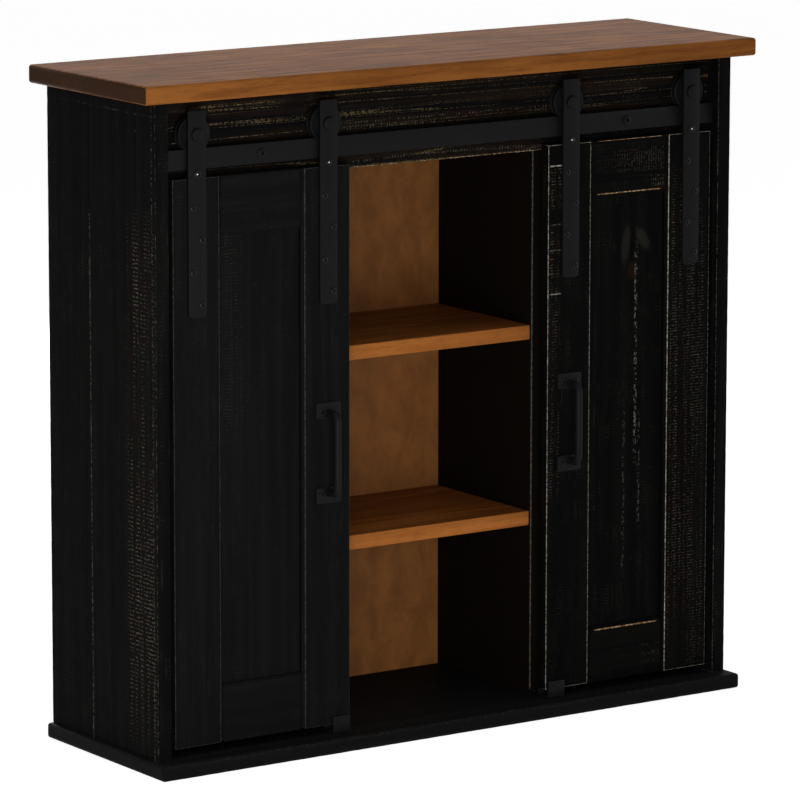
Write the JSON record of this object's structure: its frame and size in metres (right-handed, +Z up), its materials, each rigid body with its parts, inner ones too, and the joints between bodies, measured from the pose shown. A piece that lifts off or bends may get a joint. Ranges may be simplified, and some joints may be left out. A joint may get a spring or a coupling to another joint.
{
  "type": "accent cabinet",
  "caption": "Low wooden cabinet with an open shelved middle bay between two panelled doors that roll sideways on a flat top rail.",
  "frame": {"origin": "middle of the footprint, on the surface that the base board stands on", "axes": "+X to the right seen from the front, +Y from the front to the back, +Z up"},
  "size_m": [0.726, 0.217, 0.672],
  "materials": {
    "stained_pine": "satin lacquer over a warm brown stain",
    "black_painted_pine": "matte black paint rubbed through to the wood in places",
    "brown_hardboard": "matte brown board",
    "beech": "bare",
    "black_steel": "satin black powder coat",
    "zinc_steel": "bright zinc plate"
  },
  "bodies": {
    "carcass": {"top_board": "stained_pine", "base_board": "black_painted_pine", "left_side_panel": "black_painted_pine", "right_side_panel": "black_painted_pine", "left_divider": "black_painted_pine", "right_divider": "black_painted_pine", "back_panel": "brown_hardboard", "header_board": "black_painted_pine", "hanging_rail": "black_painted_pine", "upper_shelf": "stained_pine", "lower_shelf": "stained_pine", "left_shelf": "stained_pine", "right_shelf": "stained_pine", "shelf_pins": "zinc_steel", "barn_rail": "black_steel", "rail_spacers": "black_steel", "rail_bolts": "black_steel", "left_floor_guide": "black_steel", "right_floor_guide": "black_steel", "guide_screws": "zinc_steel", "base_screws": "zinc_steel", "top_dowels": "beech", "header_dowels": "beech", "hanging_rail_dowels": "beech", "back_nails": "zinc_steel"},
    "left_door": {"left_door_outer_stile": "black_painted_pine", "left_door_inner_stile": "black_painted_pine", "left_door_top_rail": "black_painted_pine", "left_door_bottom_rail": "black_painted_pine", "left_door_panel": "black_painted_pine", "left_door_outer_strap": "black_steel", "left_door_inner_strap": "black_steel", "left_door_strap_screws": "black_steel", "left_door_axle_bolts": "black_steel", "left_door_axle_washers": "black_steel", "left_door_lift_pins": "zinc_steel", "left_door_pull": "black_steel", "left_door_pull_screws": "black_steel"},
    "left_outer_wheel": {"left_outer_wheel": "black_steel"},
    "left_inner_wheel": {"left_inner_wheel": "black_steel"},
    "right_door": {"right_door_outer_stile": "black_painted_pine", "right_door_inner_stile": "black_painted_pine", "right_door_top_rail": "black_painted_pine", "right_door_bottom_rail": "black_painted_pine", "right_door_panel": "black_painted_pine", "right_door_outer_strap": "black_steel", "right_door_inner_strap": "black_steel", "right_door_strap_screws": "black_steel", "right_door_axle_bolts": "black_steel", "right_door_axle_washers": "black_steel", "right_door_lift_pins": "zinc_steel", "right_door_pull": "black_steel", "right_door_pull_screws": "black_steel"},
    "right_outer_wheel": {"right_outer_wheel": "black_steel"},
    "right_inner_wheel": {"right_inner_wheel": "black_steel"}
  },
  "joints": [
    {"name": "left_door_slide", "type": "slide", "parent": "carcass", "child": "left_door", "axis": [1, 0, 0], "range_m": [-0.006, 0.118]},
    {"name": "left_outer_wheel_spin", "type": "hinge", "parent": "left_door", "child": "left_outer_wheel", "pos_m": [-0.295, -0.0795, 0.6202], "axis": [0, 1, 0], "range_deg": [-40, 520]},
    {"name": "left_inner_wheel_spin", "type": "hinge", "parent": "left_door", "child": "left_inner_wheel", "pos_m": [-0.145, -0.0795, 0.6202], "axis": [0, 1, 0], "range_deg": [-40, 520]},
    {"name": "right_door_slide", "type": "slide", "parent": "carcass", "child": "right_door", "axis": [-1, 0, 0], "range_m": [-0.006, 0.118]},
    {"name": "right_outer_wheel_spin", "type": "hinge", "parent": "right_door", "child": "right_outer_wheel", "pos_m": [0.295, -0.0795, 0.6202], "axis": [0, -1, 0], "range_deg": [-40, 520]},
    {"name": "right_inner_wheel_spin", "type": "hinge", "parent": "right_door", "child": "right_inner_wheel", "pos_m": [0.145, -0.0795, 0.6202], "axis": [0, -1, 0], "range_deg": [-40, 520]}
  ],
  "couplings": [
    {"joint": "left_outer_wheel_spin", "follows": "left_door_slide", "rad_per_m": 71.429},
    {"joint": "left_inner_wheel_spin", "follows": "left_door_slide", "rad_per_m": 71.429},
    {"joint": "right_outer_wheel_spin", "follows": "right_door_slide", "rad_per_m": 71.429},
    {"joint": "right_inner_wheel_spin", "follows": "right_door_slide", "rad_per_m": 71.429}
  ]
}
